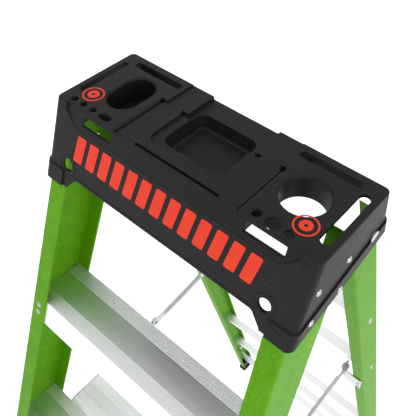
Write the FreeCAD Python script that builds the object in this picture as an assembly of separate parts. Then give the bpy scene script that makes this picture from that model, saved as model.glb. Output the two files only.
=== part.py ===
import FreeCAD, Part
import math
import os

# Fibreglass step ladder, standing open on its four feet.
# Units are millimetres. Z is up, X runs across the steps, the user climbs on the -Y side.
# The origin is on the floor, under the middle of the open ladder.
# Inside this file a place is given as (x, y, d): y is measured back from the cap's front
# top edge and d is measured down from the cap's top face.

V = FreeCAD.Vector

# ---------------------------------------------------------------- driving dimensions
CAP_TOP = 1790.0            # floor to the top face of the cap
CAP_FRONT = -25.35          # Y of the cap's front top edge

CAP_HALF = 184.0            # half of the cap's length at the top
CAP_DEPTH = 122.5           # front to back of the cap's top face
CAP_SKIRT = 106.0           # depth of the cap before its lower edge is trimmed
CAP_FRONT_SLOPE = 0.352     # how far the front face runs forward per mm down
CAP_REAR_SLOPE = 0.19       # how far the rear face runs back per mm down
CAP_END_SLOPE = 0.045       # how far the end faces run outwards per mm down
CAP_WALL = 4.0              # moulded wall
CAP_CORNER = 7.0            # rounding of the upright corners
CAP_EDGE = 2.6              # rounding of the top edge

FRONT_X = 175.6             # outer face of the front rail at the cap's top
FRONT_Y = 2.1               # front face of the front rail at the cap's top
FRONT_SPREAD = 0.072        # sideways spread of the front rails per mm down
FRONT_LEAN = -0.354         # lean of the front rails per mm down, towards the climber
FRONT_DEPTH = 84.0          # web of the front channel
FRONT_FLANGE = 27.7         # flange of the front channel

REAR_X = 171.8              # the same five sizes for the rear channel
REAR_Y = 64.1
REAR_SPREAD = 0.076
REAR_LEAN = 0.316
REAR_DEPTH = 52.0
REAR_FLANGE = 21.0

RAIL_WALL = 3.5             # thickness of the pultruded channels
RAIL_END = 1776.0           # depth at which all four rails are cut off
FRONT_RAIL_TOP = 34.0       # depth of the front rails' upper ends, inside the cap

FIRST_STEP = 305.7          # cap top to the top step's tread
STEP_PITCH = 286.7          # tread to tread: 304.8 mm measured along the rail
STEP_COUNT = 5
STEP_DEPTH = 76.9
STEP_WALL = 2.4
STEP_APRON = 41.0           # front apron
STEP_REAR_APRON = 30.0
RIB_PITCH = 2.6
RIB_WIDTH = 1.4
RIB_HEIGHT = 0.9
RIBS_PER_BAND = 8

EXTENSION_STEP = 4          # the standing step, counted from the floor
EXTENSION_DEPTH = 70.0
EXTENSION_HALF = 163.0
EXTENSION_APRON = 28.0

PIVOT_Y = 104.0             # axis on which the rear frame folds
PIVOT_D = 52.2
PIN_RADIUS = 4.0
RUNNING_GAP = 0.05          # radial clearance of a pin in a turning part

SPREADER_FRONT = (-124.0, 640.0)    # (y, d) of the spreader's pivot on the standing step
SPREADER_REAR = (262.0, 598.0)      # (y, d) of its pivot on the rear frame
KNUCKLE_SHARE = 0.5751              # place of the knuckle along the open spreader
KNUCKLE_DROP = 4.0                  # the knuckle locks this far below the line
REAR_BAR_X = 174.4                  # inner face of the rear spreader bar
FRONT_BAR_X = 177.8                 # inner face of the front spreader bar
BAR_THICK = 3.0
BAR_WIDTH = 18.0
BEAD_RADIUS = 4.0           # half-round stiffening bead pressed along each spreader bar
BEAD_INSET = 26.0           # from a bar's holes to the bead's ends

REAR_BAR_DEPTHS = (1665.0, 1375.0, 1085.0, 550.0, 315.0)    # from the floor upwards
CROSS_BAR = 22.0            # outer size of the rear cross bars' channel
CROSS_BAR_SET_BACK = 20.0   # from the rear rail's front face to the bar's front face
CROSS_BAR_WALL = 2.0

SOLE_PLATE = 6.0            # hard part of the foot below the rail
PAD = 8.0                   # rubber below that
FOOT_BLOCK = 62.0           # the part of the foot that fills the channel
FOOT_LIP = 3.0              # how far the sole stands out round the rail
FOOT_GRIP = 13.5            # how deep the foot's rivets reach
TREAD_GROOVE = 2.0


# ---------------------------------------------------------------- helpers
def at(x, y, d):
    return V(x, CAP_FRONT + y, CAP_TOP - d)


def box(x0, x1, y0, y1, d0, d1):
    return Part.makeBox(x1 - x0, y1 - y0, d1 - d0, at(x0, y0, d1))


def rounded(points, radii):
    """A closed wire through points, with each corner rounded by its radius."""
    if not isinstance(radii, (list, tuple)):
        radii = [radii] * len(points)
    starts = []
    ends = []
    arcs = []
    for i, corner in enumerate(points):
        back = (points[i - 1] - corner).normalize()
        ahead = (points[(i + 1) % len(points)] - corner).normalize()
        radius = radii[i]
        if radius <= 0:
            starts.append(corner)
            ends.append(corner)
            arcs.append(None)
            continue
        half = back.getAngle(ahead) / 2
        run = radius / math.tan(half)
        middle = (back + ahead).normalize()
        centre = corner + middle * (radius / math.sin(half))
        starts.append(corner + back * run)
        ends.append(corner + ahead * run)
        arcs.append(centre - middle * radius)
    edges = []
    for i in range(len(points)):
        if arcs[i] is not None:
            edges.append(Part.Arc(starts[i], arcs[i], ends[i]).toShape())
        following = (i + 1) % len(points)
        if ends[i].distanceToPoint(starts[following]) > 1e-6:
            edges.append(Part.LineSegment(ends[i], starts[following]).toShape())
    return Part.Wire(edges)


def slab(points, radii, along):
    return Part.Face(rounded(points, radii)).extrude(along)


def rod(start, end, radius):
    return Part.makeCylinder(radius, (end - start).Length, start, end - start)


def fuse(shapes):
    return shapes[0].multiFuse(shapes[1:]).removeSplitter()


def mirrored(shape):
    return shape.mirror(V(0, 0, 0), V(1, 0, 0))


def save(name, shapes):
    if not isinstance(shapes, list):
        shapes = [shapes]
    solids = [solid for shape in shapes for solid in shape.Solids]
    result = solids[0] if len(solids) == 1 else Part.makeCompound(solids)
    result.exportStep("parts/%s.step" % name)


def save_pair(name, shape):
    """The right-hand piece is modelled, and the left-hand one is its mirror image."""
    save(name + "_right", shape)
    save(name + "_left", mirrored(shape))


def placed(shape, point, axis):
    copy = shape.copy()
    copy.Placement = FreeCAD.Placement(point, FreeCAD.Rotation(V(0, 0, 1), axis))
    return copy


def dome_arc(radius, height, base, way):
    """Half of a shallow dome's profile, from its rim at base to its crown on the axis."""
    sphere = (radius ** 2 + height ** 2) / (2 * height)
    centre = base + way * (height - sphere)
    half_angle = math.asin(radius / sphere) / 2
    middle = V(sphere * math.sin(half_angle), 0, centre + way * sphere * math.cos(half_angle))
    return Part.Arc(V(radius, 0, base), middle, V(0, 0, base + way * height)).toShape()


def rivet(shank, grip, head, dome):
    """A domed rivet on +Z: the head is below the origin and the tail is beyond the grip."""
    tail = head * 0.8
    tail_dome = dome * 0.7
    edges = [
        Part.LineSegment(V(head, 0, 0), V(shank, 0, 0)).toShape(),
        Part.LineSegment(V(shank, 0, 0), V(shank, 0, grip)).toShape(),
        Part.LineSegment(V(shank, 0, grip), V(tail, 0, grip)).toShape(),
        dome_arc(tail, tail_dome, grip, 1),
        Part.LineSegment(V(0, 0, grip + tail_dome), V(0, 0, -dome)).toShape(),
        dome_arc(head, dome, 0, -1),
    ]
    profile = Part.Wire(Part.__sortEdges__(edges))
    return Part.Face(profile).revolve(V(0, 0, 0), V(0, 0, 1), 360)


def strap(start, end, normal, width, thick, hole):
    """A flat bar with round ends and a hole at each end, its thickness along normal."""
    along = (end - start).normalize()
    across = normal.cross(along).normalize() * (width / 2)
    reach = along * (width / 2)
    edges = [
        Part.LineSegment(start + across, end + across).toShape(),
        Part.Arc(end + across, end + reach, end - across).toShape(),
        Part.LineSegment(end - across, start - across).toShape(),
        Part.Arc(start - across, start - reach, start + across).toShape(),
    ]
    body = Part.Face(Part.Wire(edges)).extrude(normal * thick)
    for end_point in (start, end):
        body = body.cut(rod(end_point - normal, end_point + normal * (thick + 1), hole))
    return body


# ---------------------------------------------------------------- rails
def front_face_y(d):
    return FRONT_Y + FRONT_LEAN * d


def rear_face_y(d):
    return REAR_Y + REAR_LEAN * d


def front_outer_x(d):
    return FRONT_X + FRONT_SPREAD * d


def rear_outer_x(d):
    return REAR_X + REAR_SPREAD * d


FRONT_NORMAL = V(0, 1, FRONT_LEAN).normalize()      # square to the front rails' flanges
REAR_NORMAL = V(0, 1, REAR_LEAN).normalize()        # square to the rear rails' flanges
FRONT_INWARD = V(-1, 0, -FRONT_SPREAD).normalize()  # square to the right front rail's web
REAR_INWARD = V(-1, 0, -REAR_SPREAD).normalize()    # square to the right rear rail's web


def channel(x, y, depth, flange, spread, lean, top, bottom):
    """A C channel that opens towards the middle of the ladder."""
    wall = RAIL_WALL
    corners = [(x, y), (x, y + depth), (x - flange, y + depth), (x - flange, y + depth - wall),
               (x - wall, y + depth - wall), (x - wall, y + wall), (x - flange, y + wall),
               (x - flange, y)]
    radii = [3.5, 3.5, 1.0, 1.0, 1.5, 1.5, 1.0, 1.0]
    length = bottom - top
    return slab([at(cx, cy, top) for cx, cy in corners], radii,
                V(spread * length, lean * length, -length))


HOLE_RADIUS = 2.4           # rivet holes and shanks
STEP_RIVET = rivet(HOLE_RADIUS, (RAIL_WALL + STEP_WALL) * FRONT_NORMAL.y + 0.1, 4.4, 2.0)
STEP_END_GAP = 1.6          # between a step's end and the rail's web
STEP_RIVET_DROPS = (11.0, 24.0)     # below the tread, in the front and in the rear flange
STEP_RIVET_INSET = 15.0             # from the rail's outer face


def step_depth(number):
    """Depth of a tread, the steps being counted from the floor."""
    return FIRST_STEP + STEP_PITCH * (STEP_COUNT - number)


def step_rivet_seats(number):
    """Outer ends of one step's right-hand rivets, each with the way it points."""
    seats = []
    for drop in STEP_RIVET_DROPS:
        d = step_depth(number) + drop
        x = front_outer_x(d) - STEP_RIVET_INSET
        seats.append((at(x, front_face_y(d), d), FRONT_NORMAL))
        seats.append((at(x, front_face_y(d) + FRONT_DEPTH, d), FRONT_NORMAL * -1))
    return seats


def drill(shape, seats, radius, length):
    holes = [rod(point - axis, point + axis * length, radius) for point, axis in seats]
    return shape.cut(Part.makeCompound(holes))


def drill_pair(shape, seats, radius, length):
    """The same holes on the right and, mirrored, on the left."""
    holes = [rod(point - axis, point + axis * length, radius) for point, axis in seats]
    return shape.cut(Part.makeCompound(holes + [mirrored(hole) for hole in holes]))


CAP_RIVETS = ((2.8, 44.0), (56.6, 46.0), (-6.6, 82.0), (45.2, 81.0))     # (y, d) on each end


CAP_RIVET_RADIUS = 3.0
CAP_RIVET_HEAD = 4.4
PIVOT_HEAD = 7.0
CAP_SEAT = 0.4              # depth of the flats sunk into the cap's ends for the heads
LIP_PROUD = 2.2             # how far the band round the cap's lower edge stands out


def cap_outer_x(d):
    return CAP_HALF + CAP_END_SLOPE * d


def lip_top(y):
    """Depth at which the proud band of the cap's ends begins."""
    return 75.55 - 0.2159 * y


def cap_rivet_seats():
    seats = []
    for y, d in CAP_RIVETS:
        proud = LIP_PROUD if d > lip_top(y) else 0
        seats.append((at(cap_outer_x(d) + proud - CAP_SEAT, y, d), FRONT_INWARD))
    return seats


def cap_pivot_seat():
    return at(cap_outer_x(PIVOT_D) - CAP_SEAT, PIVOT_Y, PIVOT_D), V(-1, 0, 0)


FOOT_RIVET_DEPTHS = (20.0, 44.0)    # above the rail's lower end


def foot_rivet_seats(outer_x, middle_y, inward):
    seats = []
    for height in FOOT_RIVET_DEPTHS:
        d = RAIL_END - height
        seats.append((at(outer_x(d), middle_y(d), d), inward))
    return seats


def front_middle_y(d):
    return front_face_y(d) + FRONT_DEPTH / 2


def rear_middle_y(d):
    return rear_face_y(d) + REAR_DEPTH / 2


def front_rail():
    rail = channel(front_outer_x(FRONT_RAIL_TOP), front_face_y(FRONT_RAIL_TOP), FRONT_DEPTH,
                   FRONT_FLANGE, FRONT_SPREAD, FRONT_LEAN, FRONT_RAIL_TOP, RAIL_END)
    for number in range(1, STEP_COUNT + 1):
        rail = drill(rail, step_rivet_seats(number), HOLE_RADIUS, 8.0)
    rail = drill(rail, cap_rivet_seats(), CAP_RIVET_RADIUS, 20.0)
    seats = foot_rivet_seats(front_outer_x, front_middle_y, FRONT_INWARD)
    seats.append(brace_rivet_seat())
    return drill(rail, seats, HOLE_RADIUS, 8.0)


REAR_RAIL_TOP = 20.0
REAR_HEAD = 25.5            # radius of the rear rail's rounded upper end


def rear_rail():
    rail = channel(rear_outer_x(REAR_RAIL_TOP), rear_face_y(REAR_RAIL_TOP), REAR_DEPTH,
                   REAR_FLANGE, REAR_SPREAD, REAR_LEAN, REAR_RAIL_TOP, RAIL_END)
    x = rear_outer_x(PIVOT_D)
    above = box(x - 60, x + 30, PIVOT_Y - 80, PIVOT_Y + 80, 0, PIVOT_D)
    head = rod(at(x - 60, PIVOT_Y, PIVOT_D), at(x + 30, PIVOT_Y, PIVOT_D), REAR_HEAD)
    rail = rail.cut(above.cut(head))
    rail = rail.cut(rod(at(x - 60, PIVOT_Y, PIVOT_D), at(x + 30, PIVOT_Y, PIVOT_D),
                        PIN_RADIUS + RUNNING_GAP))
    seats = bracket_rivet_seats() + foot_rivet_seats(rear_outer_x, rear_middle_y, REAR_INWARD)
    for depth in REAR_BAR_DEPTHS:
        seats += bar_rivet_seats(depth)
    return drill(rail, seats, HOLE_RADIUS, 8.0)


# ---------------------------------------------------------------- steps
def teeth(y, d, count):
    """The top of a ribbed band: upright ribs with grooves between them."""
    points = []
    for i in range(count):
        start = y + i * RIB_PITCH
        points += [(start, d + RIB_HEIGHT), (start, d), (start + RIB_WIDTH, d),
                   (start + RIB_WIDTH, d + RIB_HEIGHT)]
    return points


def step(number):
    d = step_depth(number)
    front = front_face_y(d) + RAIL_WALL
    rear = front + STEP_DEPTH
    band = RIBS_PER_BAND * RIB_PITCH
    wall = STEP_WALL
    under = d + RIB_HEIGHT + wall
    hem = 9.0

    def down(y, drop):
        return (y + FRONT_LEAN * drop, d + drop)

    outline = [down(front, STEP_APRON)]
    outline += teeth(front, d, RIBS_PER_BAND)[1:]
    outline += teeth(rear - band + RIB_PITCH - RIB_WIDTH, d, RIBS_PER_BAND)[:-1]
    outline += [down(rear, STEP_REAR_APRON)]
    inner_rear = down(rear - wall, STEP_REAR_APRON - wall)
    inner_front = down(front + wall, STEP_APRON - wall)
    outline += [(inner_rear[0] - hem, d + STEP_REAR_APRON), (inner_rear[0] - hem, inner_rear[1]),
                inner_rear, down(rear - wall, under - d), down(front + wall, under - d), inner_front,
                (inner_front[0] + hem, inner_front[1]), (inner_front[0] + hem, d + STEP_APRON)]
    half = front_outer_x(d) - RAIL_WALL - STEP_END_GAP
    tread = slab([at(-half, y, depth) for y, depth in outline], 0, V(2 * half, 0, 0))
    tread = drill_pair(tread, step_rivet_seats(number), HOLE_RADIUS, 9.0)
    if number == 1:
        tread = drill_pair(tread, [brace_shelf_seat()], HOLE_RADIUS, 9.0)
    if number == EXTENSION_STEP:
        tread = drill(tread, extension_rivet_seats(), HOLE_RADIUS, 9.0)
    return tread


def riveted(shape, seats):
    """One rivet on each right-hand seat and its mirror image on the left."""
    pieces = []
    for point, axis in seats:
        piece = placed(shape, point, axis)
        pieces += [piece, mirrored(piece)]
    return pieces


def step_rivets(number):
    return riveted(STEP_RIVET, step_rivet_seats(number))


# The standing step is made deeper by a second extrusion behind it.
def extension_front():
    d = step_depth(EXTENSION_STEP)
    return front_face_y(d) + RAIL_WALL + STEP_DEPTH


def step_extension():
    d = step_depth(EXTENSION_STEP)
    front = extension_front()
    rear = front + EXTENSION_DEPTH
    wall = STEP_WALL
    bead = 5.5
    rib_start = front + 27.0
    apron = EXTENSION_APRON
    surface = d + RIB_HEIGHT
    outline = [(front + FRONT_LEAN * apron, d + apron), (front + FRONT_LEAN * RIB_HEIGHT, surface),
               (front + 2 * bead, surface), (front + 25.0, surface),
               (front + 25.0, surface + 0.9), (front + 26.4, surface + 0.9),
               (front + 26.4, surface)]
    outline += teeth(rib_start, d, RIBS_PER_BAND)
    outline += [(rear, surface), (rear, d + apron), (rear - 10, d + apron),
                (rear - 10, d + apron - wall), (rear - wall, d + apron - wall),
                (rear - wall, surface + wall),
                (front + wall + FRONT_LEAN * (RIB_HEIGHT + wall), surface + wall),
                (front + wall + FRONT_LEAN * (apron - wall), d + apron - wall),
                (front + 10 + FRONT_LEAN * (apron - wall), d + apron - wall),
                (front + 10 + FRONT_LEAN * (apron - wall), d + apron)]
    half = EXTENSION_HALF
    body = slab([at(-half, y, depth) for y, depth in outline], 0, V(2 * half, 0, 0))
    centre_y = front + bead
    nose = rod(at(-half, centre_y, surface), at(half, centre_y, surface), bead)
    nose = nose.common(box(-half, half, front, front + 2 * bead, surface - bead, surface + 1))
    flatter = FreeCAD.Matrix()
    base = at(0, centre_y, surface)
    flatter.move(base * -1)
    flatter.scale(1, 1, 0.45)
    flatter.move(base)
    nose = nose.transformGeometry(flatter)
    body = fuse([body, nose])
    return drill(body, extension_rivet_seats(), HOLE_RADIUS, 9.0)


def extension_rivet_seats():
    """Rivets that join the standing step's rear apron to the extension's front wall."""
    drop = 15.0
    d = step_depth(EXTENSION_STEP) + drop
    y = extension_front() + FRONT_LEAN * drop - STEP_WALL
    return [(at(x, y, d), FRONT_NORMAL) for x in (-135, -45, 45, 135)]


def extension_rivets():
    shape = rivet(HOLE_RADIUS, 2 * STEP_WALL * FRONT_NORMAL.y + 0.1, 4.2, 1.8)
    return [placed(shape, point, axis) for point, axis in extension_rivet_seats()]


def extension_bracket():
    """A hanging ear on the end of the extension that carries the spreader."""
    d = step_depth(EXTENSION_STEP)
    pivot_y, pivot_d = SPREADER_FRONT
    front = extension_front()
    x = EXTENSION_HALF
    top = d + RIB_HEIGHT
    corners = [at(x, front + 4, top), at(x, front + EXTENSION_DEPTH - 4, top),
               at(x, front + EXTENSION_DEPTH - 4, d + EXTENSION_APRON),
               at(x, pivot_y + 14, pivot_d + 14), at(x, pivot_y - 10, pivot_d + 12)]
    plate = slab(corners, [3, 3, 8, 10, 10], V(3, 0, 0))
    plate = plate.cut(rod(at(x - 1, pivot_y, pivot_d), at(x + 5, pivot_y, pivot_d), PIN_RADIUS))
    tab = box(x - 22, x, front + 30, front + 55, top + STEP_WALL, top + STEP_WALL + 3)
    return fuse([plate, tab])


def front_spreader_pin():
    """The long pin of the ear, with its bush, head and nut."""
    y, d = SPREADER_FRONT
    x = EXTENSION_HALF
    outer = FRONT_BAR_X + BAR_THICK
    shank = rod(at(x - 1, y, d), at(outer + 1, y, d), PIN_RADIUS)
    bush = rod(at(x + 3, y, d), at(FRONT_BAR_X - 0.3, y, d), 7.0)
    nut = rod(at(x - 4, y, d), at(x, y, d), 6.5)
    head = rod(at(outer + 0.3, y, d), at(outer + 3, y, d), 6.5)
    return fuse([shank, bush, nut, head])


# Knee braces hold the bottom step square to the rails.
BRACE_THICK = 3.0
BRACE_WIDTH = 22.0
BRACE_RUN = 155.0           # from the brace's upper end down to its lower end
BRACE_UPPER_X = 150.0
RAIL_DOWN = V(FRONT_SPREAD, FRONT_LEAN, -1)         # along the right front rail, per mm down


def brace_ends():
    upper_d = step_depth(1) + RIB_HEIGHT + STEP_WALL + 12
    lower_d = upper_d + BRACE_RUN
    upper = at(BRACE_UPPER_X, front_middle_y(upper_d), upper_d)
    lower_x = front_outer_x(lower_d) - RAIL_WALL - 14
    return upper, at(lower_x, front_middle_y(lower_d), lower_d)


def brace_web_point():
    """Where the lower end's tab meets the inner face of the rail's web."""
    lower_d = CAP_TOP - brace_ends()[1].z
    return at(front_outer_x(lower_d) - RAIL_WALL, front_middle_y(lower_d), lower_d)


def brace_rivet_seat():
    d = CAP_TOP - brace_web_point().z
    return at(front_outer_x(d), front_middle_y(d) - 10, d), FRONT_INWARD


def brace_shelf_seat():
    upper = brace_ends()[0]
    d = step_depth(1)
    return V(upper.x, upper.y - 9, CAP_TOP - d - RIB_HEIGHT), V(0, 0, -1)


def step_brace():
    upper, lower = brace_ends()
    through = FRONT_NORMAL * BRACE_THICK
    along = (lower - upper).normalize()
    across = FRONT_NORMAL.cross(along).normalize() * (BRACE_WIDTH / 2)
    web = brace_web_point()
    body = slab([upper + across, lower + across, lower - across, upper - across], 0, through)
    link = slab([lower - RAIL_DOWN * 10, web - RAIL_DOWN * 10, web + RAIL_DOWN * 10,
                 lower + RAIL_DOWN * 10], 0, through)
    tab = slab([web - RAIL_DOWN * 13, web - RAIL_DOWN * 13 - V(0, 20, 0),
                web + RAIL_DOWN * 13 - V(0, 20, 0), web + RAIL_DOWN * 13], 0,
               FRONT_INWARD * BRACE_THICK)
    top = step_depth(1) + RIB_HEIGHT + STEP_WALL
    y = upper.y - CAP_FRONT
    hanger = slab([at(upper.x - 18, y + 4, top), at(upper.x + 18, y + 4, top),
                   upper + V(18, 0, -4), upper + V(-18, 0, -4)], 0, through)
    shelf = box(upper.x - 18, upper.x + 18, y - 18, y + 7, top, top + BRACE_THICK)
    above = box(0, 400, -900, 0, 0, top)
    body = fuse([body, link, tab, hanger, shelf]).cut(above)
    body = drill(body, [brace_shelf_seat()], HOLE_RADIUS, 12.0)
    return drill(body, [brace_rivet_seat()], HOLE_RADIUS, 12.0)


def brace_rivets():
    side = rivet(HOLE_RADIUS, RAIL_WALL + BRACE_THICK, 4.2, 1.8)
    upright = rivet(HOLE_RADIUS, STEP_WALL + BRACE_THICK, 4.2, 1.8)
    return riveted(side, [brace_rivet_seat()]) + riveted(upright, [brace_shelf_seat()])


# ---------------------------------------------------------------- feet
def sole_outline(outer_x, face_y, depth, flange, lip, d):
    """The sole's outline round a rail's section."""
    x = outer_x(RAIL_END)
    y = face_y(RAIL_END)
    return [at(x + lip, y - lip, d), at(x + lip, y + depth + lip, d),
            at(x - flange - lip, y + depth + lip, d), at(x - flange - lip, y - lip, d)]


def foot(outer_x, face_y, depth, flange, spread, lean, inward):
    """A moulded block inside the channel, on a plate that covers the rail's end."""
    wall = RAIL_WALL
    top = RAIL_END - FOOT_BLOCK
    x = outer_x(top) - wall
    y = face_y(top) + wall
    corners = [at(x, y, top), at(x, y + depth - 2 * wall, top),
               at(x - flange + wall, y + depth - 2 * wall, top), at(x - flange + wall, y, top)]
    block = slab(corners, [1.5, 1.5, 3, 3],
                 V(spread * FOOT_BLOCK, lean * FOOT_BLOCK, -FOOT_BLOCK))
    plate = slab(sole_outline(outer_x, face_y, depth, flange, FOOT_LIP, RAIL_END), 6,
                 V(0, 0, -SOLE_PLATE))
    body = fuse([block, plate])
    seats = foot_rivet_seats(outer_x, lambda d: face_y(d) + depth / 2, inward)
    return drill(body, seats, HOLE_RADIUS, FOOT_GRIP + 3)


def foot_pad(outer_x, face_y, depth, flange):
    """The rubber sole, with grooves across it."""
    outline = sole_outline(outer_x, face_y, depth, flange, FOOT_LIP + 1, RAIL_END + SOLE_PLATE)
    body = slab(outline, 6, V(0, 0, -PAD))
    low_y = outline[0].y - CAP_FRONT
    high_y = outline[1].y - CAP_FRONT
    floor = RAIL_END + SOLE_PLATE + PAD
    count = int((high_y - low_y) / 12)
    pitch = (high_y - low_y) / count
    for i in range(1, count):
        y = low_y + i * pitch
        body = body.cut(box(outline[2].x - 5, outline[0].x + 5, y - 1.2, y + 1.2,
                            floor - TREAD_GROOVE, floor + 1))
    return body


def foot_rivets(outer_x, middle_y, inward):
    """Drive rivets: a domed head outside and a plain end inside the block."""
    head = rivet(HOLE_RADIUS, FOOT_GRIP, 4.2, 1.8)
    keep = Part.makeCylinder(HOLE_RADIUS, FOOT_GRIP, V(0, 0, 0), V(0, 0, 1))
    cap = Part.makeCylinder(6, 3, V(0, 0, -3), V(0, 0, 1))
    return riveted(head.common(fuse([keep, cap])), foot_rivet_seats(outer_x, middle_y, inward))


# ---------------------------------------------------------------- rear frame
def bar_rivet_seats(depth):
    """Two rivets through the rear rail's web into each end of a cross bar."""
    seats = []
    for drop in (6.5, 15.5):
        d = depth + drop
        y = rear_face_y(d) + CROSS_BAR_SET_BACK + CROSS_BAR / 2
        seats.append((at(rear_outer_x(d), y, d), REAR_INWARD))
    return seats


def cross_bar(depth):
    """A channel that opens downwards, its end tabs turned against the rails' webs."""
    front = rear_face_y(depth) + CROSS_BAR_SET_BACK
    size = CROSS_BAR
    wall = CROSS_BAR_WALL
    slope = REAR_LEAN

    def down(y, drop):
        return (y + slope * drop, depth + drop)

    outline = [down(front, size), down(front, 0), down(front + size, 0), down(front + size, size),
               down(front + size - wall, size), down(front + size - wall, wall),
               down(front + wall, wall), down(front + wall, size)]
    half = rear_outer_x(depth) - RAIL_WALL
    body = slab([at(-half, y, d) for y, d in outline], 0, V(2 * half, 0, 0))
    tab_outline = [down(front + wall, wall), down(front + size - wall, wall),
                   down(front + size - wall, size - 1), down(front + wall, size - 1)]
    tab = slab([at(rear_outer_x(d) - RAIL_WALL, y, d) for y, d in tab_outline], 0,
               REAR_INWARD * wall)
    body = fuse([body, tab, mirrored(tab)])
    return drill_pair(body, bar_rivet_seats(depth), HOLE_RADIUS, 12.0)


def cross_bar_rivets():
    shape = rivet(HOLE_RADIUS, RAIL_WALL + CROSS_BAR_WALL + 0.2, 4.2, 1.8)
    seats = [seat for depth in REAR_BAR_DEPTHS for seat in bar_rivet_seats(depth)]
    return riveted(shape, seats)


def rear_brace():
    """A flat diagonal from the lowest cross bar up to the rear rail."""
    thick = 3.0
    width = 20.0
    rise = 150.0
    lower_d = REAR_BAR_DEPTHS[0] + CROSS_BAR / 2
    upper_d = lower_d - rise
    up = V(-REAR_SPREAD, -REAR_LEAN, 1)
    set_back = CROSS_BAR_SET_BACK - thick / REAR_NORMAL.y
    lower = at(165, rear_face_y(lower_d) + set_back, lower_d)
    web = at(rear_outer_x(upper_d) - RAIL_WALL, rear_face_y(upper_d) + set_back, upper_d)
    upper = web - V(12, 0, 0)
    through = REAR_NORMAL * thick
    along = (upper - lower).normalize()
    across = REAR_NORMAL.cross(along).normalize() * (width / 2)
    body = slab([lower + across, upper + across, upper - across, lower - across], 0, through)
    near_web = web - V(0.3, 0, 0)
    link = slab([upper - up * 9, near_web - up * 9, near_web + up * 9, upper + up * 9], 0,
                through)
    tab = slab([web - up * 12, web - up * 12 + V(0, 20, 0), web + up * 12 + V(0, 20, 0),
                web + up * 12], 0, REAR_INWARD * thick)
    return fuse([body, link, tab])


# ---------------------------------------------------------------- spreaders
BRACKET_RIVETS = (612.0, 632.0)     # depths of the rivets in the rear rail's front flange


def bracket_rivet_seats():
    seats = []
    for d in BRACKET_RIVETS:
        x = rear_outer_x(d) - REAR_FLANGE / 2
        point = at(x, rear_face_y(d), d) - REAR_NORMAL * 2.5
        seats.append((point, REAR_NORMAL))
    return seats


def spreader_bracket():
    """An angle on the rear rail's front flange: its ear carries the rear spreader bar."""
    y, d = SPREADER_REAR
    ear_x = REAR_BAR_X - 0.4 - 2.5
    outer = rear_outer_x(d) - 3.0
    low = 642.0
    high = 584.0
    thick = 2.5 / REAR_NORMAL.y
    clear_x = REAR_BAR_X + BAR_THICK + 2.0
    clear_d = d + BAR_WIDTH / 2 + 6.0
    places = [(clear_x, high), (outer, high), (outer, low), (ear_x + 14, low), (ear_x, low - 12),
              (ear_x, clear_d), (clear_x, clear_d)]
    corners = [at(px, rear_face_y(pd), pd) for px, pd in places]
    flange = slab(corners, [4, 4, 4, 4, 0, 0, 2], V(0, -thick, 0))
    ear = slab([at(ear_x, rear_face_y(high) - thick, high), at(ear_x, y + 10, high),
                at(ear_x, y + 12, d + 12), at(ear_x, rear_face_y(low - 12), low - 12),
                at(ear_x, rear_face_y(low - 12) - thick, low - 12)],
               [4, 6, 6, 0, 0], V(2.5, 0, 0))
    body = fuse([flange, ear])
    body = body.cut(rod(at(ear_x - 1, y, d), at(ear_x + 4, y, d), PIN_RADIUS))
    return drill(body, bracket_rivet_seats(), HOLE_RADIUS, 8.0)


def bracket_rivets():
    shape = rivet(HOLE_RADIUS, RAIL_WALL * REAR_NORMAL.y + 2.5, 4.4, 2.0)
    return riveted(shape, bracket_rivet_seats())


def rear_spreader_pin():
    y, d = SPREADER_REAR
    ear = REAR_BAR_X - 0.4 - 2.5
    outer = REAR_BAR_X + BAR_THICK
    shank = rod(at(ear - 1, y, d), at(outer + 0.4, y, d), PIN_RADIUS)
    nut = rod(at(ear - 3.5, y, d), at(ear, y, d), 6.5)
    head = rod(at(outer + 0.3, y, d), at(outer + 2.5, y, d), 6.0)
    return fuse([shank, nut, head])


def knuckle():
    y0, d0 = SPREADER_FRONT
    y1, d1 = SPREADER_REAR
    return y0 + (y1 - y0) * KNUCKLE_SHARE, d0 + (d1 - d0) * KNUCKLE_SHARE + KNUCKLE_DROP


def spreader_bar(x, start, bead_side):
    """A flat bar with a pressed stiffening bead, from its pivot to the knuckle."""
    y0, d0 = start
    y1, d1 = knuckle()
    first = at(x, y0, d0)
    last = at(x, y1, d1)
    body = strap(first, last, V(1, 0, 0), BAR_WIDTH, BAR_THICK, PIN_RADIUS)
    along = (last - first).normalize()
    bead_x = V(BAR_THICK if bead_side > 0 else 0, 0, 0)
    bead = rod(first + along * BEAD_INSET + bead_x, last - along * BEAD_INSET + bead_x,
               BEAD_RADIUS)
    keep = box(x, x + 9, -900, 900, 0, 1700) if bead_side > 0 else box(x - 9, x, -900, 900, 0, 1700)
    body = fuse([body, bead.common(keep)])
    return body.cut(rod(first - V(2, 0, 0), first + V(BAR_THICK + 2, 0, 0),
                        PIN_RADIUS + RUNNING_GAP))


def knuckle_pin():
    """The knuckle's rivet: fixed in the front bar, and ending just short of the rear bar."""
    y, d = knuckle()
    x = FRONT_BAR_X
    shank = rod(at(x, y, d), at(x + BAR_THICK + 1, y, d), PIN_RADIUS)
    head = rod(at(x + BAR_THICK, y, d), at(x + BAR_THICK + 2.5, y, d), 6.5)
    return fuse([shank, head])


# ---------------------------------------------------------------- cap
def cap_ring(d, inset):
    """The cap's outline at a depth, drawn in by an inset."""
    half = CAP_HALF + CAP_END_SLOPE * d - inset
    front = -CAP_FRONT_SLOPE * d + inset
    rear = CAP_DEPTH + CAP_REAR_SLOPE * d - inset
    corners = [at(-half, front, d), at(half, front, d), at(half, rear, d), at(-half, rear, d)]
    return rounded(corners, max(CAP_CORNER - inset, 3))


def cap_block(top, bottom, inset):
    return Part.makeLoft([cap_ring(top, inset), cap_ring(bottom, inset)], True, True)


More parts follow.
